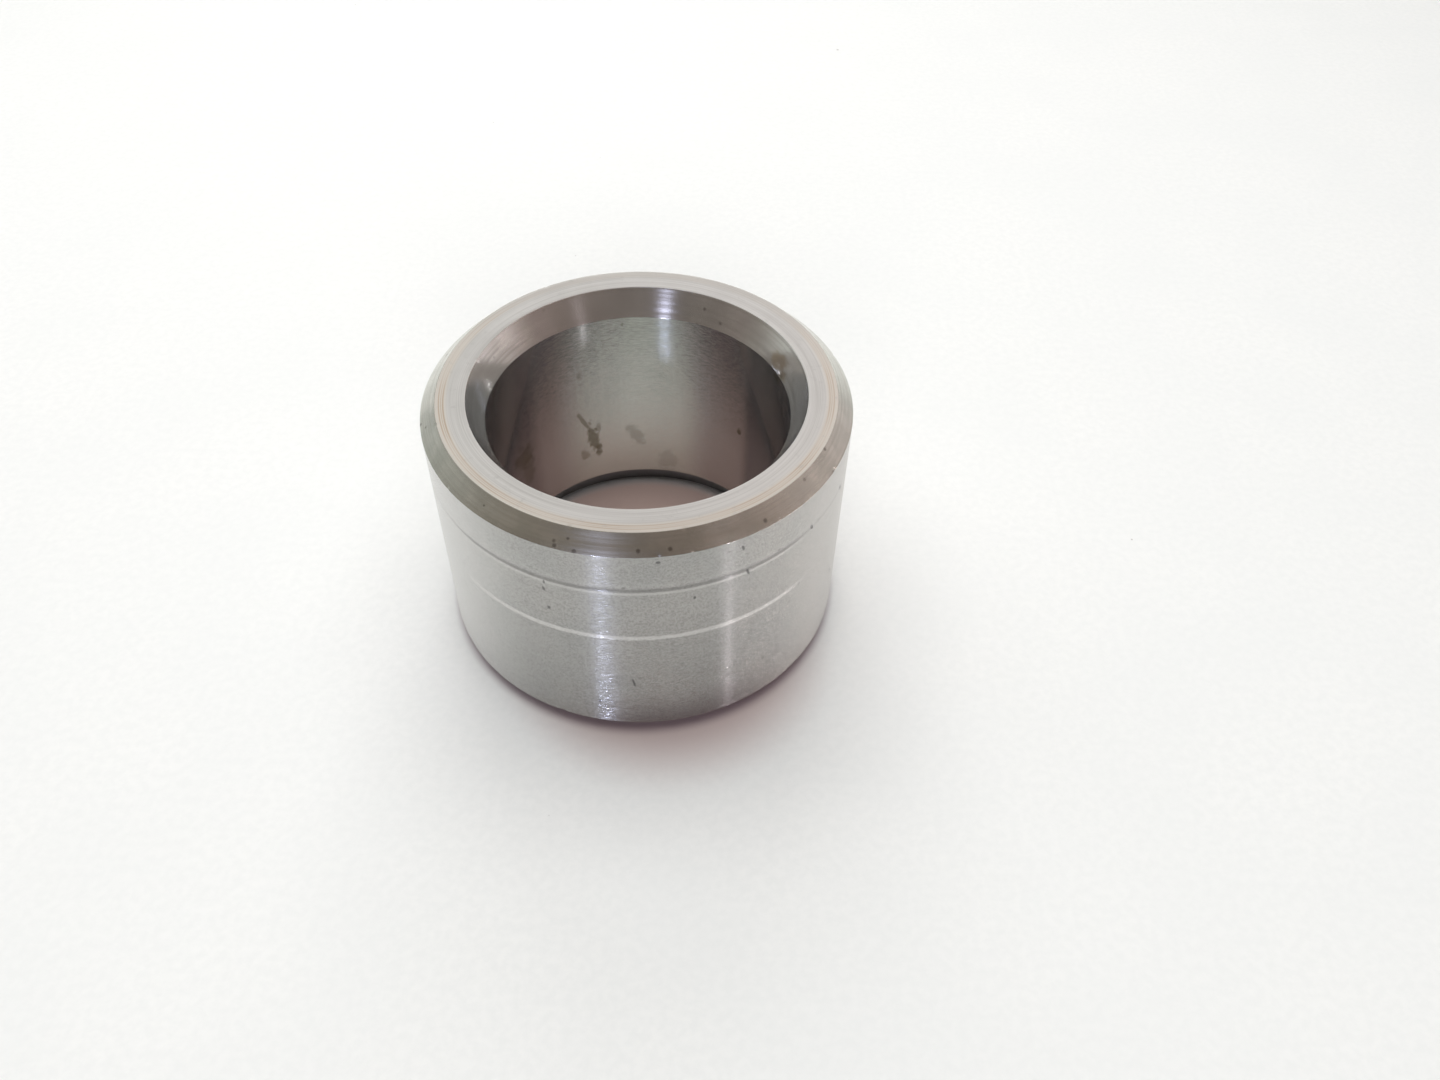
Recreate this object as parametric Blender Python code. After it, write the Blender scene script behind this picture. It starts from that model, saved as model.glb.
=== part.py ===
"""Plain shaft collar: one turned, hardened and ground steel ring, slid over a shaft.

The frame has its origin at the centre of the bottom face and +Z up along the bore.
Run it with blender --background --python part.py, or from Blender's text editor.
"""

import math

import bmesh
import bpy
from mathutils import Vector

# Driving dimensions, in metres.
OUTER_DIAMETER = 0.0420
BORE_DIAMETER = 0.0300
HEIGHT = 0.0280

# Outer edge breaks: the top one is measured, the bottom one is a little larger.
TOP_CHAMFER_WIDTH = 0.00157
TOP_CHAMFER_HEIGHT = 0.00150
BOTTOM_CHAMFER = 0.00174

# Long lead-in cones at both ends of the bore, about 30 degrees to the axis.
LEAD_IN_WIDTH = 0.00158
LEAD_IN_HEIGHT = 0.00276

# Two witness lines round the outside, each placed by its depth below the top face.
NOTCH_BELOW_TOP = 0.00590
NOTCH_WIDTH = 0.00040
NOTCH_DEPTH = 0.00005
BAND_BELOW_TOP = 0.01262
BAND_WIDTH = 0.00056
BAND_DEPTH = 0.00003
BAND_FLANK = 0.00008

# Flat sides round the ring: a multiple of four, so that it fills its box exactly.
SEGMENTS = 144

OUTER_RADIUS = OUTER_DIAMETER / 2
BORE_RADIUS = BORE_DIAMETER / 2


def clear_scene():
    """Remove every object that the file starts with."""
    for obj in list(bpy.data.objects):
        bpy.data.objects.remove(obj, do_unlink=True)


def make_steel():
    """Ground bearing steel, grey with a satin gloss."""
    steel = bpy.data.materials.new("ground_steel")
    steel.use_nodes = True
    shader = steel.node_tree.nodes["Principled BSDF"]
    shader.inputs["Base Color"].default_value = (0.50, 0.49, 0.47, 1.0)
    shader.inputs["Metallic"].default_value = 1.0
    shader.inputs["Roughness"].default_value = 0.33
    steel.diffuse_color = (0.50, 0.49, 0.47, 1.0)
    return steel


def notch():
    """The upper witness line, a shallow V: its points from top to bottom."""
    middle = HEIGHT - NOTCH_BELOW_TOP
    return [
        (OUTER_RADIUS, middle + NOTCH_WIDTH / 2),
        (OUTER_RADIUS - NOTCH_DEPTH, middle),
        (OUTER_RADIUS, middle - NOTCH_WIDTH / 2),
    ]


def band():
    """The lower witness line, a shallow flat-bottomed band, from top to bottom."""
    middle = HEIGHT - BAND_BELOW_TOP
    floor = OUTER_RADIUS - BAND_DEPTH
    return [
        (OUTER_RADIUS, middle + BAND_WIDTH / 2),
        (floor, middle + BAND_WIDTH / 2 - BAND_FLANK),
        (floor, middle - BAND_WIDTH / 2 + BAND_FLANK),
        (OUTER_RADIUS, middle - BAND_WIDTH / 2),
    ]


def collar_profile():
    """The ring's section as (radius, height), down the outside and up the bore."""
    outside = [
        (OUTER_RADIUS - TOP_CHAMFER_WIDTH, HEIGHT),
        (OUTER_RADIUS, HEIGHT - TOP_CHAMFER_HEIGHT),
        *notch(),
        *band(),
        (OUTER_RADIUS, BOTTOM_CHAMFER),
        (OUTER_RADIUS - BOTTOM_CHAMFER, 0.0),
    ]
    inside = [
        (BORE_RADIUS + LEAD_IN_WIDTH, 0.0),
        (BORE_RADIUS, LEAD_IN_HEIGHT),
        (BORE_RADIUS, HEIGHT - LEAD_IN_HEIGHT),
        (BORE_RADIUS + LEAD_IN_WIDTH, HEIGHT),
    ]
    return outside + inside


def turn(name, profile, material):
    """Spin a closed section round the Z axis into one solid object."""
    mesh = bpy.data.meshes.new(name)
    work = bmesh.new()
    corners = [work.verts.new((radius, 0.0, height)) for radius, height in profile]
    for start, end in zip(corners, corners[1:] + corners[:1]):
        work.edges.new((start, end))
    bmesh.ops.spin(
        work,
        geom=work.verts[:] + work.edges[:],
        cent=Vector((0.0, 0.0, 0.0)),
        axis=Vector((0.0, 0.0, 1.0)),
        angle=2 * math.pi,
        steps=SEGMENTS,
        use_merge=True,
    )
    bmesh.ops.recalc_face_normals(work, faces=work.faces[:])
    work.to_mesh(mesh)
    work.free()
    mesh.shade_smooth()
    mesh.set_sharp_from_angle(angle=math.radians(20))
    mesh.materials.append(material)
    obj = bpy.data.objects.new(name, mesh)
    bpy.context.collection.objects.link(obj)
    return obj


def main():
    clear_scene()
    turn("collar_ring", collar_profile(), make_steel())


main()
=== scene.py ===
"""Looks for the plain shaft collar: one turned and ground steel ring on pale paper.

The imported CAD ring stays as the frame, and a finely cut ring of the same section stands for it.
Lengths in the settings are millimetres; angles are degrees round the axis, from +X towards +Y.
The camera looks from the front (-Y), with +X at the right. Some of the finishes change their
colour with the place on the ring, to stand for what the photo's surroundings reflect there.
"""

import math

import bmesh
import bpy
import numpy as np
from mathutils import Matrix, Vector


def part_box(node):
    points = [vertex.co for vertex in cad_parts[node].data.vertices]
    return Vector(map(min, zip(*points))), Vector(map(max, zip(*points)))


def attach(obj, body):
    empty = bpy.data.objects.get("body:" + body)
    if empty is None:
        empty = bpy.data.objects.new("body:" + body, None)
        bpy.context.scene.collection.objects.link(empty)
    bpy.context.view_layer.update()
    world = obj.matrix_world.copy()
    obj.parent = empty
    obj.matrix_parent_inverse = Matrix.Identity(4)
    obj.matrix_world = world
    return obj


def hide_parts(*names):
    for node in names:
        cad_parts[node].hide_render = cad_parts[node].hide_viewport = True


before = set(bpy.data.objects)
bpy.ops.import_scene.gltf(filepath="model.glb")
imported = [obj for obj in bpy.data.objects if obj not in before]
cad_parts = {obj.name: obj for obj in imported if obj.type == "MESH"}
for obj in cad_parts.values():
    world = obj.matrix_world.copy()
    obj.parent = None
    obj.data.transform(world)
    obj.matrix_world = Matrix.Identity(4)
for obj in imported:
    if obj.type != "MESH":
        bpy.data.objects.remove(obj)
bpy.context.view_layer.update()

MM = 0.001
NODE = "collar_ring"
SURFACE = "collar_ring_surface"
_, high_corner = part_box(NODE)

# The ring's section. The outside and the height come from the frame.
OUTER_R = high_corner.x / MM
HEIGHT = high_corner.z / MM
BORE_R = 15.0
LEAD_IN_WIDTH = 1.58
LEAD_IN_HEIGHT = 2.76
TOP_CHAMFER_WIDTH = 1.57
TOP_CHAMFER_HEIGHT = 1.50
BOTTOM_CHAMFER = 1.74

# The two witness lines round the outside: a fine groove, and a shallow flat band under it.
NOTCH_HEIGHT = HEIGHT - 5.90
NOTCH_DEPTH, NOTCH_REACH = 0.028, 0.17
BAND_HEIGHT = HEIGHT - 12.62
BAND_DEPTH, BAND_REACH = 0.016, 0.24

# Turning marks on the end faces: fine ones at random radii, and a few deeper: radius and depth.
FINE_MARKS = 26
FINE_MARK_RADII = (16.7, 19.35)
FINE_MARK_DEPTHS = (0.0004, 0.0012)
FINE_MARK_REACH = 0.05
DEEP_MARKS = ((18.62, 0.0035), (18.80, 0.0025), (19.02, 0.0030), (17.35, 0.0015))
DEEP_MARK_REACH = 0.045
MARK_SEED = 7

# How finely the ring is cut: round the axis, in each edge's arc, and along the section's runs.
SEGMENTS = 1200
ARC_STEPS = 5
EDGE_STEP = 0.06
STEP_GROWTH = 0.3
WALL_STEP = 0.9
FACE_STEP = 0.05
LINE_STEP = 0.06
LINE_REACH = 0.6

CAMERA_PLACE = (8.417, -87.459, 100.55)
CAMERA_PITCH = 42.951
CAMERA_ROLL = 1.801
CAMERA_LENS = 29.065
SENSOR_WIDTH = 36.0
CLIP_START, CLIP_END = 5.0, 20000.0


def make_camera():
    """A close view from above and in front, about 125 mm from the ring's middle."""
    data = bpy.data.cameras.new("camera")
    data.sensor_width = SENSOR_WIDTH
    data.lens = CAMERA_LENS
    data.clip_start = CLIP_START * MM
    data.clip_end = CLIP_END * MM
    camera = bpy.data.objects.new("camera", data)
    bpy.context.scene.collection.objects.link(camera)
    camera.matrix_world = (
        Matrix.Translation(Vector(CAMERA_PLACE) * MM)
        @ Matrix.Rotation(math.radians(CAMERA_PITCH), 4, "X")
        @ Matrix.Rotation(math.radians(CAMERA_ROLL), 4, "Z")
    )
    bpy.context.scene.camera = camera


# ---------------------------------------------------------------- the ring's mesh

def section_corners():
    """Each corner of the section, its edge radius, and the zone from there to the next corner."""
    return [
        ((OUTER_R - TOP_CHAMFER_WIDTH, HEIGHT), 0.10, "turned_chamfer"),
        ((OUTER_R, HEIGHT - TOP_CHAMFER_HEIGHT), 0.03, "ground_wall"),
        ((OUTER_R, BOTTOM_CHAMFER), 0.10, "turned_chamfer"),
        ((OUTER_R - BOTTOM_CHAMFER, 0.0), 0.15, "faced_end"),
        ((BORE_R + LEAD_IN_WIDTH, 0.0), 0.10, "lead_in_cone"),
        ((BORE_R, LEAD_IN_HEIGHT), 0.10, "honed_bore"),
        ((BORE_R, HEIGHT - LEAD_IN_HEIGHT), 0.05, "lead_in_cone"),
        ((BORE_R + LEAD_IN_WIDTH, HEIGHT), 0.08, "faced_end"),
    ]


def rounded_corner(before, corner, after, radius):
    """Points of a round edge of this radius, from one straight run to the next."""
    a = (before - corner) / np.linalg.norm(before - corner)
    b = (after - corner) / np.linalg.norm(after - corner)
    half = math.acos(float(np.clip(a @ b, -1, 1))) / 2
    centre = corner + (a + b) / np.linalg.norm(a + b) * radius / math.sin(half)
    start = corner + a * radius / math.tan(half) - centre
    end = corner + b * radius / math.tan(half) - centre
    turn = math.atan2(start[0] * end[1] - start[1] * end[0], float(start @ end))
    points = []
    for i in range(ARC_STEPS + 1):
        c, s = math.cos(turn * i / ARC_STEPS), math.sin(turn * i / ARC_STEPS)
        points.append(centre + np.array([c * start[0] - s * start[1], s * start[0] + c * start[1]]))
    return points


def cuts_along(start, end, zone):
    """Points along one straight run: close near its ends, on the end face and at the lines."""
    length = float(np.linalg.norm(end - start))
    widest = FACE_STEP if zone == "faced_end" else WALL_STEP
    places = []
    at = 0.0
    while at < length - EDGE_STEP / 2:
        places.append(at)
        from_edge = min(at, length - at)
        at += max(EDGE_STEP, min(STEP_GROWTH * from_edge, widest))
    if zone == "ground_wall":
        for middle in (NOTCH_HEIGHT, BAND_HEIGHT):
            depth = start[1] - middle
            places = [p for p in places if abs(p - depth) > LINE_REACH]
            places += list(depth + np.arange(-LINE_REACH, LINE_REACH + LINE_STEP / 2, LINE_STEP))
        places.sort()
    return [start + (end - start) * place / length for place in places]


def section():
    """The closed section as points and the zone of each, down the outside and up the bore."""
    corners = section_corners()
    count = len(corners)
    places = [np.array(corner, float) for corner, _, _ in corners]
    arcs = [
        rounded_corner(places[i - 1], places[i], places[(i + 1) % count], corners[i][1])
        for i in range(count)
    ]
    points, zones = [], []
    for i in range(count):
        zone = corners[i][2]
        run = arcs[i][:-1] + cuts_along(arcs[i][-1], arcs[(i + 1) % count][0], zone)
        points += run
        zones += [zone] * len(run)
    return np.array(points), zones


# Small dents on the edges: degrees round, radius, height, how wide and how deep.
DENT_REACH = 3
DENTS = (
    (278.5, 21.0, 26.5, 0.28, 0.070),
    (287.3, 21.0, 26.5, 0.18, 0.050),
    (247.0, 21.0, 26.5, 0.18, 0.040),
    (311.0, 21.0, 26.5, 0.16, 0.040),
    (219.0, 21.0, 26.5, 0.20, 0.050),
    (334.0, 21.0, 26.5, 0.22, 0.050),
    (256.5, 19.43, 28.0, 0.18, 0.050),
    (286.0, 19.43, 28.0, 0.16, 0.045),
    (302.0, 19.43, 28.0, 0.15, 0.035),
    (199.0, 19.43, 28.0, 0.20, 0.045),
    (41.0, 19.43, 28.0, 0.18, 0.045),
    (124.0, 19.43, 28.0, 0.22, 0.050),
    (73.0, 16.58, 28.0, 0.15, 0.040),
    (168.0, 16.58, 28.0, 0.18, 0.045),
    (203.0, 16.58, 28.0, 0.16, 0.040),
    (22.0, 15.0, 25.2, 0.30, 0.045),
    (250.4, 21.0, 1.74, 0.30, 0.080),
    (292.0, 21.0, 1.74, 0.20, 0.050),
    (84.0, 21.0, 1.74, 0.24, 0.060),
    (141.0, 21.0, 26.5, 0.26, 0.060),
    (96.0, 21.0, 26.5, 0.18, 0.045),
    (22.0, 21.0, 26.5, 0.20, 0.050),
)


def line_relief(height):
    """How far the witness lines sink into the outer wall."""
    notch = NOTCH_DEPTH * np.exp(-((height - NOTCH_HEIGHT) / NOTCH_REACH) ** 2)
    band = BAND_DEPTH * np.exp(-((height - BAND_HEIGHT) / BAND_REACH) ** 4)
    return notch + band


def facing_relief(radius):
    """How far the turning marks sink into the end faces."""
    relief = np.zeros_like(radius)
    draws = np.random.default_rng(MARK_SEED)
    for _ in range(FINE_MARKS):
        middle = draws.uniform(*FINE_MARK_RADII)
        depth = draws.uniform(*FINE_MARK_DEPTHS)
        relief += depth * np.exp(-((radius - middle) / FINE_MARK_REACH) ** 2)
    for middle, depth in DEEP_MARKS:
        relief += depth * np.exp(-((radius - middle) / DEEP_MARK_REACH) ** 2)
    return relief


def turned_points(points, zones):
    """Every vertex of the ring, one row for each point of the section, in millimetres."""
    angle = 2 * np.pi * np.arange(SEGMENTS) / SEGMENTS
    radius = points[:, 0].copy()
    height = points[:, 1].copy()
    zones = np.array(zones)
    wall = zones == "ground_wall"
    radius[wall] -= line_relief(height[wall])
    end = zones == "faced_end"
    on_top = end & (height > HEIGHT / 2)
    height[on_top] -= facing_relief(points[on_top, 0])
    height[end & ~on_top] += facing_relief(points[end & ~on_top, 0])
    x = radius[:, None] * np.cos(angle)
    y = radius[:, None] * np.sin(angle)
    z = np.repeat(height[:, None], SEGMENTS, 1)
    return np.stack([x, y, z], -1)


def dent(vertices):
    """Push each dent into the steel, towards the middle of the section."""
    middle_radius, middle_height = (OUTER_R + BORE_R) / 2, HEIGHT / 2
    up = np.array([0.0, 0.0, 1.0])
    for around, radius, height, width, depth in DENTS:
        a = math.radians(around)
        out = np.array([math.cos(a), math.sin(a), 0.0])
        centre = out * radius + up * height
        inwards = out * np.sign(middle_radius - radius) + up * np.sign(middle_height - height)
        distance = np.linalg.norm(vertices - centre, axis=-1)
        push = depth * np.exp(-(distance / width) ** 2)
        push[distance > DENT_REACH * width] = 0.0
        vertices += push[..., None] * inwards / math.sqrt(2)
    return vertices


def make_ring(materials):
    """The ring's visible mesh: the section turned round the axis, with its marks cut in."""
    points, zones = section()
    vertices = dent(turned_points(points, zones))
    rows = np.arange(len(points))[:, None] * SEGMENTS
    below = np.roll(rows, -1, axis=0)
    here = np.arange(SEGMENTS)[None, :]
    beside = np.roll(here, -1, axis=1)
    faces = np.stack([rows + here, below + here, below + beside, rows + beside], -1).reshape(-1, 4)
    mesh = bpy.data.meshes.new(SURFACE)
    mesh.from_pydata((vertices.reshape(-1, 3) * MM).tolist(), [], faces.tolist())
    names = list(materials)
    for name in names:
        mesh.materials.append(materials[name])
    index = np.repeat([names.index(zone) for zone in zones], SEGMENTS)
    mesh.polygons.foreach_set("material_index", index.astype(np.int32))
    mesh.shade_smooth()
    mesh.update()
    ring = bpy.data.objects.new(SURFACE, mesh)
    bpy.context.scene.collection.objects.link(ring)
    return ring


# ---------------------------------------------------------------- node helpers

QUARTER_TURN = 0.25


class Nodes:
    """Short ways to add nodes to one tree and join them."""

    def __init__(self, tree):
        self.tree = tree

    def join(self, value, socket):
        """Link a socket, or set a plain value."""
        if isinstance(value, bpy.types.NodeSocket):
            self.tree.links.new(value, socket)
        else:
            socket.default_value = value

    def vector(self, operation, a, b=None, scale=None):
        node = self.tree.nodes.new("ShaderNodeVectorMath")
        node.operation = operation
        self.join(a, node.inputs[0])
        if b is not None:
            self.join(b, node.inputs[1])
        if scale is not None:
            node.inputs["Scale"].default_value = scale
        return node.outputs["Value" if operation == "LENGTH" else "Vector"]

    def parts(self, vector):
        """A vector's X, Y and Z."""
        node = self.tree.nodes.new("ShaderNodeSeparateXYZ")
        self.join(vector, node.inputs[0])
        return node.outputs

    def math(self, operation, a, b=0.0):
        node = self.tree.nodes.new("ShaderNodeMath")
        node.operation = operation
        self.join(a, node.inputs[0])
        self.join(b, node.inputs[1])
        return node.outputs[0]

    def spread(self, value, low, high, to_low=0.0, to_high=1.0, steps="SMOOTHSTEP"):
        """Map a value from one range to another, and hold it at the ends."""
        node = self.tree.nodes.new("ShaderNodeMapRange")
        node.interpolation_type = steps
        self.join(value, node.inputs["Value"])
        settings = (("From Min", low), ("From Max", high), ("To Min", to_low), ("To Max", to_high))
        for name, number in settings:
            node.inputs[name].default_value = number
        return node.outputs["Result"]

    def noise(self, vector, scale, detail=2.0, roughness=0.5):
        """Noise with this many features per millimetre."""
        node = self.tree.nodes.new("ShaderNodeTexNoise")
        self.join(vector, node.inputs["Vector"])
        node.inputs["Scale"].default_value = scale
        node.inputs["Detail"].default_value = detail
        node.inputs["Roughness"].default_value = roughness
        return node.outputs["Fac"]

    def colour(self, factor, a, b):
        """From colour a to colour b. Each is a socket or three numbers."""
        node = self.tree.nodes.new("ShaderNodeMix")
        node.data_type = "RGBA"
        self.join(factor, node.inputs["Factor"])
        sockets = [socket for socket in node.inputs if socket.type == "RGBA"]
        for value, socket in zip((a, b), sockets):
            self.join(value if isinstance(value, bpy.types.NodeSocket) else (*value, 1.0), socket)
        return [socket for socket in node.outputs if socket.type == "RGBA"][0]


class Finish(Nodes):
    """One procedural material. Its place, height and radius are in millimetres."""

    def __init__(self, name, metallic, roughness, anisotropy=0.0):
        self.material = bpy.data.materials.new(name)
        self.material.use_nodes = True
        super().__init__(self.material.node_tree)
        self.normal = None
        self.tree.nodes.clear()
        self.shader = self.tree.nodes.new("ShaderNodeBsdfPrincipled")
        self.shader.inputs["Metallic"].default_value = metallic
        self.shader.inputs["Roughness"].default_value = roughness
        output = self.tree.nodes.new("ShaderNodeOutputMaterial")
        self.join(self.shader.outputs["BSDF"], output.inputs["Surface"])
        if anisotropy:
            self.shader.inputs["Anisotropic"].default_value = anisotropy
            self.shader.inputs["Anisotropic Rotation"].default_value = QUARTER_TURN
            tangent = self.tree.nodes.new("ShaderNodeTangent")
            tangent.direction_type = "RADIAL"
            tangent.axis = "Z"
            self.join(tangent.outputs["Tangent"], self.shader.inputs["Tangent"])
        coords = self.tree.nodes.new("ShaderNodeTexCoord")
        self.place = self.vector("SCALE", coords.outputs["Object"], scale=1 / MM)
        self.axes = self.parts(self.place)
        self.height = self.axes["Z"]
        self.radius = self.vector("LENGTH", self.vector("MULTIPLY", self.place, (1, 1, 0)))

    def tone(self, base, colour, value, low, high, to_low=0.0, to_high=1.0):
        """Lay a colour over the base, by how far a value is from one end of a range to another."""
        return self.colour(self.spread(value, low, high, to_low, to_high), base, colour)

    def part(self, mask, share):
        return self.math("MULTIPLY", mask, share)

    def off(self, value, middle):
        """How far a value is from its middle, either way."""
        return self.math("ABSOLUTE", self.math("SUBTRACT", value, middle))

    def strongest(self, masks):
        """The largest of several marks at each point."""
        result = masks[0]
        for mask in masks[1:]:
            result = self.math("MAXIMUM", result, mask)
        return result

    def rings(self, value, per_mm, drift=0.02, detail=3.0):
        """Fine parallel lines that follow the tool: they change along a value, slowly round."""
        node = self.tree.nodes.new("ShaderNodeCombineXYZ")
        slow = self.parts(self.vector("SCALE", self.place, scale=drift))
        self.join(self.math("MULTIPLY", value, per_mm), node.inputs["X"])
        self.join(slow["X"], node.inputs["Y"])
        self.join(slow["Y"], node.inputs["Z"])
        return self.noise(node.outputs["Vector"], 1.0, detail, 0.6)

    def blot(self, around, radius, height, size, edge, tilt=0.0):
        """Where one small mark lies on the ring: 1 in its middle, 0 outside its ragged edge.

        The size is half its width and half its height.
        """
        a = math.radians(around)
        centre = (radius * math.cos(a), radius * math.sin(a), height)
        shift = self.vector("SUBTRACT", self.place, centre)
        mapping = self.tree.nodes.new("ShaderNodeMapping")
        mapping.vector_type = "TEXTURE"
        mapping.inputs["Rotation"].default_value = (0.0, math.radians(tilt), a - math.pi / 2)
        mapping.inputs["Scale"].default_value = (size[0], max(size), size[1])
        self.join(shift, mapping.inputs["Vector"])
        rough = self.math("SUBTRACT", self.noise(self.place, 1.1, 5.0, 0.75), 0.5)
        ragged = self.math("MULTIPLY", rough, edge * 6)
        away = self.math("ADD", self.vector("LENGTH", mapping.outputs["Vector"]), ragged)
        return self.spread(away, 0.55, 1.15, 1.0, 0.0)

    def specks(self, per_mm, share, seed=0.0, reach=0.30):
        """Sparse small pits, in this share of the cells: 1 in a pit, 0 beyond its reach."""
        moved = self.vector("ADD", self.place, (seed, seed, seed))
        cells = self.tree.nodes.new("ShaderNodeTexVoronoi")
        self.join(moved, cells.inputs["Vector"])
        cells.inputs["Scale"].default_value = per_mm
        chosen = self.tree.nodes.new("ShaderNodeSeparateColor")
        self.join(cells.outputs["Color"], chosen.inputs[0])
        rare = self.math("LESS_THAN", chosen.outputs[0], share)
        near = self.spread(cells.outputs["Distance"], reach * 0.4, reach, 1.0, 0.0)
        return self.math("MULTIPLY", rare, near)

    def grind(self, value, per_mm, slope):
        """Scratches too fine to see one by one: they tilt the surface up and down the axis."""
        geometry = self.tree.nodes.new("ShaderNodeNewGeometry")
        lines = self.rings(value, per_mm, 1.5, 1.0)
        tilt = self.math("MULTIPLY", self.math("SUBTRACT", lines, 0.5), slope)
        node = self.tree.nodes.new("ShaderNodeCombineXYZ")
        self.join(tilt, node.inputs["Z"])
        self.normal = self.vector("ADD", geometry.outputs["Normal"], node.outputs["Vector"])
        self.normal = self.vector("NORMALIZE", self.normal)
        self.join(self.normal, self.shader.inputs["Normal"])

    def bump(self, height, strength, distance_mm):
        """A fine relief, on top of the ground normal where there is one."""
        node = self.tree.nodes.new("ShaderNodeBump")
        if self.normal is not None:
            self.join(self.normal, node.inputs["Normal"])
        node.inputs["Strength"].default_value = strength
        node.inputs["Distance"].default_value = distance_mm * MM
        self.join(height, node.inputs["Height"])
        self.join(node.outputs["Normal"], self.shader.inputs["Normal"])

    def paint(self, colour, roughness):
        self.join(colour, self.shader.inputs["Base Color"])
        self.join(roughness, self.shader.inputs["Roughness"])


# ---------------------------------------------------------------- steel finishes

# Dried stains in the bore: degrees round, height, size, tilt and strength.
BORE_STAINS = (
    (116.4, 8.9, (0.75, 2.4), -12.0, 0.75),
    (120.6, 11.8, (0.30, 2.2), -24.0, 0.60),
    (114.3, 6.8, (0.50, 1.0), 0.0, 0.60),
    (121.2, 6.8, (0.55, 0.9), -15.0, 0.45),
    (114.0, 10.3, (0.35, 0.8), 0.0, 0.45),
    (97.2, 8.6, (0.85, 1.9), -24.0, 0.34),
    (83.0, 4.6, (1.30, 1.5), 0.0, 0.22),
    (47.2, 12.8, (0.34, 0.50), 0.0, 0.80),
    (121.0, 18.5, (0.40, 0.60), 0.0, 0.30),
    (170.9, 24.3, (0.60, 0.50), 0.0, 0.45),
    (101.0, 24.4, (0.20, 0.30), 0.0, 0.45),
    (155.0, 12.0, (1.80, 1.6), 0.0, 0.65),
    (152.5, 9.5, (1.10, 2.2), 10.0, 0.45),
    (24.0, 24.6, (0.90, 0.6), 0.0, 0.70),
    (238.0, 15.0, (0.90, 2.4), 15.0, 0.45),
    (296.0, 8.0, (1.10, 1.7), -20.0, 0.40),
)
# Dark ticks on the outside: degrees round, height, size and tilt.
WALL_TICKS = (
    (271.4, 8.5, (0.13, 0.75), 12.0),
    (250.4, 18.1, (0.20, 0.26), 0.0),
    (249.6, 20.6, (0.17, 0.34), 10.0),
    (249.9, 21.6, (0.12, 0.26), 0.0),
    (261.9, 5.0, (0.18, 0.30), 0.0),
    (250.4, 0.9, (0.20, 0.45), 0.0),
    (287.5, 20.4, (0.16, 0.24), 0.0),
    (301.7, 21.7, (0.16, 0.50), 20.0),
    (323.8, 22.1, (0.22, 0.50), 30.0),
    (278.6, 25.8, (0.24, 0.20), 0.0),
    (300.0, 25.2, (0.14, 0.40), 15.0),
    (341.5, 9.8, (0.20, 0.50), 15.0),
    (341.0, 22.0, (0.24, 0.70), 35.0),
    (196.0, 12.0, (0.20, 0.50), -12.0),
    (128.0, 17.0, (0.20, 0.60), 18.0),
    (76.0, 7.5, (0.18, 0.50), -20.0),
    (35.0, 14.0, (0.18, 0.50), 25.0),
)
# Dark specks on the outer chamfer: degrees round, height and size.
CHAMFER_SPECKS = (
    (256.7, 27.3, (0.16, 0.12)),
    (259.0, 27.5, (0.12, 0.10)),
    (253.0, 27.7, (0.13, 0.09)),
    (287.0, 27.0, (0.22, 0.13)),
    (285.5, 26.8, (0.12, 0.12)),
    (268.0, 26.9, (0.13, 0.10)),
    (232.0, 27.2, (0.14, 0.12)),
    (104.0, 27.2, (0.20, 0.14)),
    (31.0, 27.4, (0.16, 0.14)),
)
CHAMFER_SPECK_RADIUS = 20.2
# Tan rings on the end faces: radius, reach and strength.
TAN_RINGS = ((18.62, 0.10, 0.75), (18.82, 0.07, 0.55), (19.03, 0.09, 0.70))
# Rust on the upper cone: degrees round, radius, height and size.
CONE_RUST = ((26.5, 15.6, 26.2, (1.5, 0.8)), (21.0, 15.2, 25.6, (1.0, 0.5)))


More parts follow.
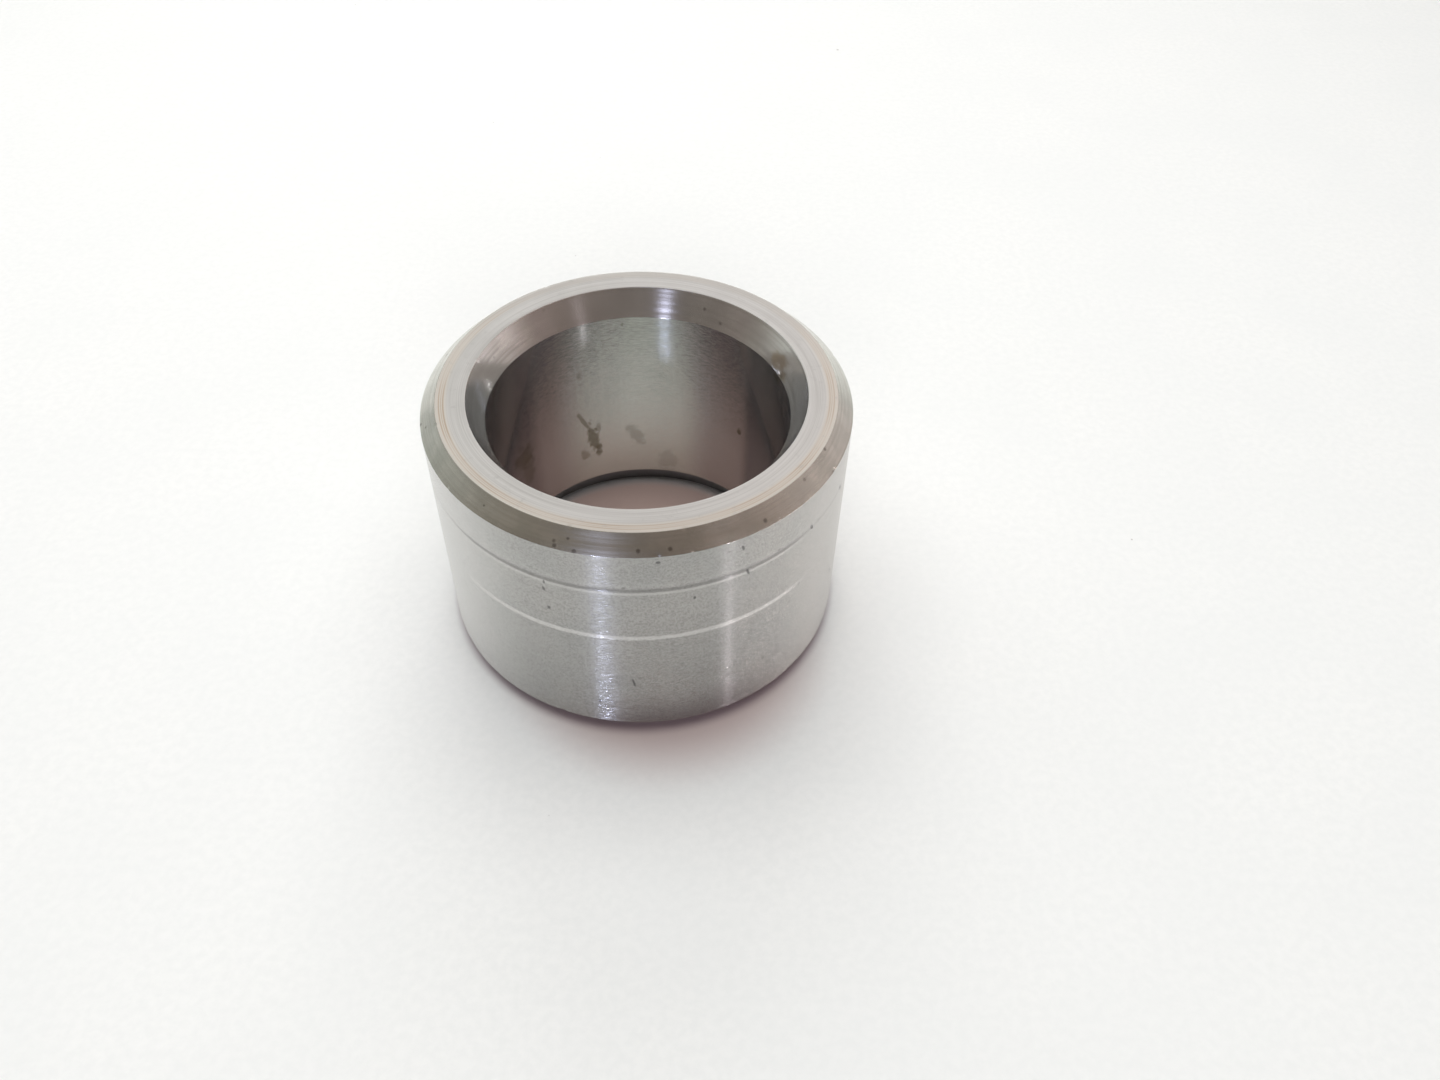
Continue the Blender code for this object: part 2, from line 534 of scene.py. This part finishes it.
def ground_wall():
    """The ground outside: satin, with grinding grain, two witness lines and a few ticks.

    Its sides are painted lighter, as painted reflection of the bright surroundings, and it's
    painted darker low down in front, as a painted reflection of the shaded floor at its foot. The
    fine groove gets painted shade inside and painted highlights on its lips. The lines fade at the
    sides.
    """
    finish = Finish("ground_wall", 1.0, 0.22, 1.0)
    across, height = finish.axes["X"], finish.height
    finish.grind(height, 40.0, finish.spread(height, 1.0, 27.0, 2.4, 1.25))
    grain = finish.noise(finish.place, 4.6, 3.0, 0.75)
    cloud = finish.noise(finish.place, 0.16, 2.0, 0.5)
    lines = finish.rings(height, 9.0)
    mottle = finish.spread(cloud, 0.35, 0.65)
    base = finish.colour(mottle, (0.45, 0.45, 0.435), (0.49, 0.48, 0.46))
    base = finish.tone(base, (0.32, 0.315, 0.30), grain, 0.40, 0.64, 0.0, 0.62)
    base = finish.tone(base, (0.50, 0.495, 0.48), lines, 0.35, 0.70, 0.0, 0.25)
    # Painted reflection: both sides are painted lighter, where the wall reflects the bright
    # surroundings.
    base = finish.tone(base, (0.72, 0.715, 0.70), across, -8.0, -19.0, 0.0, 0.85)
    base = finish.tone(base, (0.69, 0.665, 0.64), across, 13.0, 20.5, 0.0, 0.62)
    # Painted reflection of shade: darker low down in front, for the shaded floor that the wall
    # reflects there.
    low = finish.spread(height, 1.5, 7.5, 1.0, 0.0)
    low = finish.part(low, finish.spread(finish.off(across, 5.5), 3.5, 10.5, 0.58, 0.0))
    base = finish.colour(low, base, (0.18, 0.16, 0.17))

    # The lines' colour fades towards the left and right.
    faded_at_sides = finish.spread(finish.math("ABSOLUTE", across), 14.0, 17.5, 1.0, 0.15)
    ragged = finish.part(finish.noise(finish.place, 3.4, 2.0, 0.7), 0.36)
    from_band = finish.math("ADD", finish.off(height, BAND_HEIGHT), ragged)
    band = finish.part(finish.spread(from_band, 0.36, 0.54, 0.85, 0.0), faded_at_sides)
    base = finish.colour(band, base, (0.72, 0.71, 0.69))
    # Painted shade and highlights of the fine groove: dark inside it, light on the lips below and
    # above it.
    over_notch = finish.math("SUBTRACT", height, NOTCH_HEIGHT)
    valley_away = finish.math("ABSOLUTE", over_notch)
    valley_shade = finish.part(finish.spread(valley_away, 0.06, 0.34, 0.55, 0.0), faded_at_sides)
    base = finish.colour(valley_shade, base, (0.21, 0.205, 0.20))
    lip_away = finish.math("ABSOLUTE", finish.math("ADD", over_notch, 0.42))
    lip_highlight = finish.part(finish.spread(lip_away, 0.08, 0.22, 0.6, 0.0), faded_at_sides)
    base = finish.colour(lip_highlight, base, (0.66, 0.65, 0.63))
    upper_away = finish.off(over_notch, 0.62)
    base = finish.tone(base, (0.58, 0.57, 0.55), upper_away, 0.10, 0.26, 0.25, 0.0)

    ticks = finish.strongest([
        finish.blot(around, OUTER_R, up, size, 0.12, tilt) for around, up, size, tilt in WALL_TICKS
    ])
    base = finish.colour(finish.part(ticks, 0.7), base, (0.08, 0.075, 0.08))
    base = finish.colour(finish.part(finish.specks(1.3, 0.05), 0.4), base, (0.15, 0.145, 0.14))
    finish.paint(base, finish.spread(grain, 0.3, 0.7, 0.20, 0.25))
    finish.bump(finish.math("ADD", finish.part(grain, 0.6), finish.part(lines, 0.4)), 0.35, 0.005)
    return finish.material


def turned_chamfer():
    """The outer edge breaks: fine turned, with small dark specks. The bottom one is painted near
    black, as painted shade in the gap under the ring.
    """
    finish = Finish("turned_chamfer", 1.0, 0.22, 0.6)
    lines = finish.rings(finish.radius, 5.0)
    cloud = finish.noise(finish.place, 0.30, 3.0, 0.6)
    mottle = finish.spread(cloud, 0.35, 0.68)
    base = finish.colour(mottle, (0.59, 0.595, 0.545), (0.70, 0.695, 0.64))
    base = finish.tone(base, (0.49, 0.475, 0.42), lines, 0.38, 0.66, 0.0, 0.5)
    specks = finish.strongest([
        finish.blot(around, CHAMFER_SPECK_RADIUS, height, size, 0.15)
        for around, height, size in CHAMFER_SPECKS
    ])
    pits = finish.math("MAXIMUM", specks, finish.specks(1.1, 0.09, 5.0))
    base = finish.colour(finish.part(pits, 0.6), base, (0.12, 0.10, 0.08))
    # Painted shade: the bottom chamfer is painted near black, for the shaded gap under the ring's
    # foot.
    base = finish.tone(base, (0.09, 0.06, 0.085), finish.height, 1.3, 2.0, 0.93, 0.0)
    finish.paint(base, finish.spread(lines, 0.3, 0.7, 0.18, 0.27))
    finish.bump(lines, 0.6, 0.010)
    return finish.material


def faced_end():
    """The end faces: bright, with concentric turning marks and tan rings near the outside.

    They're painted lighter in front, as painted light, and the tan is strongest there.
    """
    finish = Finish("faced_end", 1.0, 0.35, 0.5)
    back = finish.axes["Y"]
    fine = finish.rings(finish.radius, 9.0, 0.05)
    wide = finish.rings(finish.radius, 2.2, 0.03)
    cloud = finish.noise(finish.place, 0.22, 3.0, 0.6)
    mottle = finish.spread(cloud, 0.3, 0.7)
    base = finish.colour(mottle, (0.665, 0.665, 0.645), (0.735, 0.735, 0.715))
    # Painted light: the front of the face is painted lighter.
    base = finish.tone(base, (0.85, 0.85, 0.825), back, 4.0, -14.0, 0.0, 0.6)
    base = finish.tone(base, (0.57, 0.565, 0.545), fine, 0.36, 0.66, 0.0, 0.55)
    base = finish.tone(base, (0.84, 0.84, 0.825), wide, 0.40, 0.68, 0.0, 0.5)
    in_front = finish.spread(back, 2.0, 15.0, 1.0, 0.25)
    outer = finish.part(finish.spread(finish.radius, 18.1, 18.7), in_front)
    base = finish.colour(finish.part(outer, 0.55), base, (0.83, 0.765, 0.665))
    patchy = finish.spread(finish.noise(finish.place, 0.11, 1.0, 0.5), 0.30, 0.66, 0.15, 1.0)
    patchy = finish.part(patchy, in_front)
    for middle, reach, depth in TAN_RINGS:
        away = finish.off(finish.radius, middle)
        ring = finish.part(finish.spread(away, reach * 0.3, reach, depth, 0.0), patchy)
        base = finish.colour(ring, base, (0.56, 0.43, 0.31))
    scuffs = finish.noise(finish.place, 0.9, 4.0, 0.65)
    base = finish.tone(base, (0.55, 0.55, 0.53), scuffs, 0.58, 0.72, 0.0, 0.35)
    finish.paint(base, finish.spread(fine, 0.3, 0.7, 0.30, 0.42))
    finish.bump(finish.math("ADD", fine, wide), 0.35, 0.006)
    return finish.material


def lead_in_cone():
    """The cones that lead into the bore: fine turned, with a little rust at the right.

    They're painted lighter at both sides, as painted reflection, and the bottom one is painted
    dark, as painted shade where it faces the floor.
    """
    finish = Finish("lead_in_cone", 0.80, 0.12, 0.6)
    lines = finish.rings(finish.radius, 6.0)
    cloud = finish.noise(finish.place, 0.25, 3.0, 0.6)
    mottle = finish.spread(cloud, 0.35, 0.68)
    base = finish.colour(mottle, (0.47, 0.445, 0.42), (0.55, 0.525, 0.495))
    aside = finish.math("ABSOLUTE", finish.axes["X"])
    # Painted reflection: both sides are painted lighter.
    base = finish.tone(base, (0.84, 0.84, 0.81), aside, 11.5, 15.5)
    base = finish.tone(base, (0.40, 0.38, 0.35), lines, 0.38, 0.66, 0.0, 0.4)
    rust = finish.strongest([finish.blot(*patch, 0.4) for patch in CONE_RUST])
    base = finish.colour(finish.part(rust, 0.7), base, (0.44, 0.35, 0.24))
    pits = finish.specks(1.2, 0.06, 9.0)
    base = finish.colour(finish.part(pits, 0.5), base, (0.12, 0.10, 0.09))
    # Painted shade: the bottom cone is painted dark, where it faces the shaded floor.
    base = finish.tone(base, (0.16, 0.14, 0.16), finish.height, 2.5, 3.1, 0.85, 0.0)
    finish.paint(base, finish.spread(lines, 0.3, 0.7, 0.10, 0.14))
    finish.bump(lines, 0.3, 0.002)
    return finish.material


def honed_bore():
    """The bore: smooth, greenish grey, with dried olive stains. It's painted darker towards its
    sides, as painted shade.
    """
    finish = Finish("honed_bore", 0.97, 0.19, 1.0)
    finish.grind(finish.height, 90.0, 1.0)
    across = finish.axes["X"]
    grain = finish.noise(finish.place, 2.6, 3.0, 0.6)
    lines = finish.rings(finish.height, 8.0)
    cloud = finish.noise(finish.place, 0.14, 2.0, 0.5)
    mottle = finish.spread(cloud, 0.35, 0.65)
    base = finish.colour(mottle, (0.70, 0.74, 0.69), (0.75, 0.78, 0.73))
    base = finish.tone(base, (0.66, 0.68, 0.64), grain, 0.35, 0.75, 0.0, 0.20)
    base = finish.tone(base, (0.86, 0.87, 0.84), lines, 0.35, 0.70, 0.0, 0.25)
    # Painted shade: darker away from the middle, and darkest near both sides.
    off_middle = finish.math("ABSOLUTE", finish.math("ADD", across, 2.0))
    base = finish.tone(base, (0.53, 0.505, 0.495), off_middle, 4.5, 9.5)
    base = finish.tone(base, (0.27, 0.265, 0.28), across, 10.2, 11.5, 0.0, 0.85)
    base = finish.tone(base, (0.31, 0.28, 0.29), across, -11.6, -13.2, 0.0, 0.80)
    for around, height, size, tilt, depth in BORE_STAINS:
        stain = finish.part(finish.blot(around, BORE_R, height, size, 0.4, tilt), depth)
        base = finish.colour(stain, base, (0.20, 0.185, 0.125))
    finish.paint(base, finish.spread(grain, 0.3, 0.7, 0.17, 0.21))
    finish.bump(grain, 0.15, 0.003)
    return finish.material


def steel_finishes():
    """Every zone's finish, by the zone's name."""
    return {
        "ground_wall": ground_wall(),
        "turned_chamfer": turned_chamfer(),
        "faced_end": faced_end(),
        "lead_in_cone": lead_in_cone(),
        "honed_bore": honed_bore(),
    }


# ---------------------------------------------------------------- studio

FLOOR_HALF = 1500.0
DOME_RADIUS = 480.0
FOOT_SHADE_PLACE = (3.0, -10.0, 0.0)


def paper():
    """Plain white paper: soft fibres, a few tiny flecks, and painted brownish shadow in the ring
    and round its foot.
    """
    finish = Finish("paper", 0.0, 0.9)
    finish.shader.inputs["Specular IOR Level"].default_value = 0.2
    fibres = finish.noise(finish.place, 1.1, 4.0, 0.6)
    cloud = finish.noise(finish.place, 0.05, 3.0, 0.5)
    base = finish.colour(finish.spread(fibres, 0.3, 0.7), (0.825, 0.84, 0.83), (0.86, 0.872, 0.86))
    base = finish.tone(base, (0.81, 0.83, 0.825), cloud, 0.3, 0.7, 0.0, 0.4)
    from_axis = finish.vector("LENGTH", finish.place)
    # Painted shadow: the paper within the bore is painted brownish, most towards the back.
    painted_inner_shadow = finish.part(
        finish.spread(from_axis, 14.8, 16.5, 0.9, 0.0), finish.spread(finish.axes["Y"], -3.0, 8.5)
    )
    base = finish.colour(painted_inner_shadow, base, (0.66, 0.48, 0.43))
    # Painted shadow: pinkish brown round the ring's foot, centred a little in front and to the
    # right.
    outside = finish.spread(from_axis, 16.0, 18.0)
    from_foot = finish.vector("LENGTH", finish.vector("SUBTRACT", finish.place, FOOT_SHADE_PLACE))
    soft = finish.part(finish.spread(from_foot, 10.5, 19.0, 0.9, 0.0), outside)
    base = finish.colour(soft, base, (0.60, 0.49, 0.47))
    # Painted shadow: dark in the gap under the ring's bottom edge.
    painted_gap_shadow = finish.part(finish.spread(from_axis, 20.2, 21.7, 0.75, 0.0), outside)
    base = finish.colour(painted_gap_shadow, base, (0.30, 0.22, 0.25))
    flecks = finish.strongest([
        finish.specks(0.07, 0.45, 3.0, 0.025), finish.specks(0.11, 0.35, 8.0, 0.018)
    ])
    base = finish.colour(finish.part(flecks, 0.55), base, (0.30, 0.27, 0.26))
    finish.paint(base, 0.9)
    finish.bump(fibres, 0.3, 0.02)
    return finish.material


def make_floor():
    """A wide sheet of plain pale paper under the ring."""
    mesh = bpy.data.meshes.new("floor")
    side = FLOOR_HALF * MM
    corners = [(-side, -side, 0), (side, -side, 0), (side, side, 0), (-side, side, 0)]
    mesh.from_pydata(corners, [], [(0, 1, 2, 3)])
    mesh.materials.append(paper())
    floor = bpy.data.objects.new("floor", mesh)
    bpy.context.scene.collection.objects.link(floor)


# The studio round the ring, from the front (0) to the back (1): place and colour.
WALL_TONES = (
    (0.00, (0.20, 0.175, 0.155)),
    (0.10, (0.24, 0.210, 0.185)),
    (0.25, (0.33, 0.290, 0.255)),
    (0.42, (0.45, 0.410, 0.375)),
    (0.50, (0.55, 0.520, 0.490)),
    (0.64, (0.63, 0.620, 0.590)),
    (0.73, (0.79, 0.790, 0.775)),
    (0.88, (0.98, 0.990, 0.980)),
    (1.00, (1.65, 1.680, 1.680)),
)
LEFT_TINT = (0.97, 1.00, 0.98)
RIGHT_TINT = (1.09, 0.95, 0.945)
LOW_TINT = (0.60, 0.38, 0.43)
LOW_TINT_TOP = 0.36
LOW_TINT_BACK = (0.15, 0.42)
WALL_STRENGTH = 0.76


def make_backdrop():
    """A pale dome round the stage. Only the camera sees it: it neither lights nor shades."""
    finish = Finish("backdrop", 0.0, 1.0)
    cloud = finish.noise(finish.place, 0.004, 2.0, 0.5)
    shade = finish.colour(finish.spread(cloud, 0.3, 0.7), (0.80, 0.80, 0.785), (0.86, 0.86, 0.845))
    finish.join(shade, finish.shader.inputs["Emission Color"])
    finish.shader.inputs["Emission Strength"].default_value = 1.0
    finish.shader.inputs["Base Color"].default_value = (0.0, 0.0, 0.0, 1.0)
    finish.shader.inputs["Specular IOR Level"].default_value = 0.0
    bm = bmesh.new()
    bmesh.ops.create_uvsphere(bm, u_segments=96, v_segments=48, radius=DOME_RADIUS * MM)
    mesh = bpy.data.meshes.new("backdrop")
    bm.to_mesh(mesh)
    bm.free()
    mesh.polygons.foreach_set("use_smooth", [True] * len(mesh.polygons))
    mesh.materials.append(finish.material)
    dome = bpy.data.objects.new("backdrop", mesh)
    bpy.context.scene.collection.objects.link(dome)
    dome.visible_diffuse = False
    dome.visible_glossy = False
    dome.visible_transmission = False
    dome.visible_shadow = False


def make_world():
    """Soft studio surroundings: bright behind the ring, dim and brownish in front of it."""
    world = bpy.data.worlds.new("studio")
    bpy.context.scene.world = world
    world.use_nodes = True
    world.cycles_visibility.diffuse = False
    nodes = Nodes(world.node_tree)
    coords = nodes.tree.nodes.new("ShaderNodeTexCoord")
    axes = nodes.parts(coords.outputs["Generated"])
    to_right = nodes.spread(axes["X"], -1.0, 1.0, steps="LINEAR")
    to_back = nodes.spread(axes["Y"], -1.0, 1.0, steps="LINEAR")
    to_top = nodes.spread(axes["Z"], 0.0, LOW_TINT_TOP, steps="LINEAR")
    ramp = nodes.tree.nodes.new("ShaderNodeValToRGB")
    stops = ramp.color_ramp.elements
    stops[0].position, stops[0].color = WALL_TONES[0][0], (*WALL_TONES[0][1], 1)
    stops[1].position, stops[1].color = WALL_TONES[-1][0], (*WALL_TONES[-1][1], 1)
    for place, colour in WALL_TONES[1:-1]:
        stops.new(place).color = (*colour, 1)
    nodes.join(to_back, ramp.inputs["Fac"])
    sideways = nodes.colour(to_right, LEFT_TINT, RIGHT_TINT)
    walls = nodes.vector("MULTIPLY", ramp.outputs["Color"], sideways)
    behind = nodes.spread(to_back, *LOW_TINT_BACK, steps="LINEAR")
    low_in_front = nodes.colour(nodes.math("MAXIMUM", to_top, behind), LOW_TINT, (1, 1, 1))
    background = nodes.tree.nodes["Background"]
    nodes.join(nodes.vector("MULTIPLY", walls, low_in_front), background.inputs["Color"])
    background.inputs["Strength"].default_value = WALL_STRENGTH


# Lamps: name, degrees round, degrees up, distance, size, watts, colour, shape.
PAPER_LIGHT = (1.0, 0.985, 0.975)
PAPER_LAMPS = (
    ("key_left", 152, 45, 420, (300, 300), 0.37, PAPER_LIGHT, "RECTANGLE"),
    ("key_right", 35, 45, 420, (300, 300), 0.16, PAPER_LIGHT, "RECTANGLE"),
    ("key_back", 95, 65, 380, (300, 300), 0.23, PAPER_LIGHT, "RECTANGLE"),
    ("far_back", 95, 30, 600, (400, 300), 1.30, PAPER_LIGHT, "RECTANGLE"),
    ("overhead", 90, 88, 420, (500, 500), 1.48, PAPER_LIGHT, "RECTANGLE"),
    ("front_fill", 275, 28, 700, (500, 240), 1.80, PAPER_LIGHT, "RECTANGLE"),
)
STEEL_LAMPS = (
    ("front_left", 254.8, 14.3, 600, (62, 34), 1.35, (0.66, 0.72, 1.0), "RECTANGLE"),
    ("front_right", 313.3, 9.6, 600, (17, 26), 0.45, (1.0, 0.92, 1.0), "RECTANGLE"),
    ("front_low", 341.5, 3, 600, (760, 50), 1.30, (1.0, 0.88, 0.88), "ELLIPSE"),
)


def make_lamp(name, around, above, distance, size, watts, colour, shape, lights_paper):
    """A soft lamp that faces the ring. It either lights the paper or glosses on the steel."""
    data = bpy.data.lights.new(name, "AREA")
    data.shape = shape
    data.size, data.size_y = size[0] * MM, size[1] * MM
    data.energy = watts
    data.color = colour
    lamp = bpy.data.objects.new(name, data)
    bpy.context.scene.collection.objects.link(lamp)
    a, e = math.radians(around), math.radians(above)
    bearing = Vector((math.cos(e) * math.cos(a), math.cos(e) * math.sin(a), math.sin(e)))
    place = bearing * distance * MM
    lamp.location = place + Vector((0, 0, HEIGHT * MM))
    lamp.rotation_euler = (-place).to_track_quat("-Z", "Y").to_euler()
    lamp.visible_camera = False
    lamp.visible_diffuse = lights_paper
    lamp.visible_glossy = not lights_paper


def make_lamps():
    for lamp in PAPER_LAMPS:
        make_lamp(*lamp, lights_paper=True)
    for lamp in STEEL_LAMPS:
        make_lamp(*lamp, lights_paper=False)


make_camera()
make_world()
make_lamps()
make_floor()
make_backdrop()
ring = make_ring(steel_finishes())
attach(ring, "root")
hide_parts(NODE)
bpy.context.scene.view_settings.view_transform = "Standard"
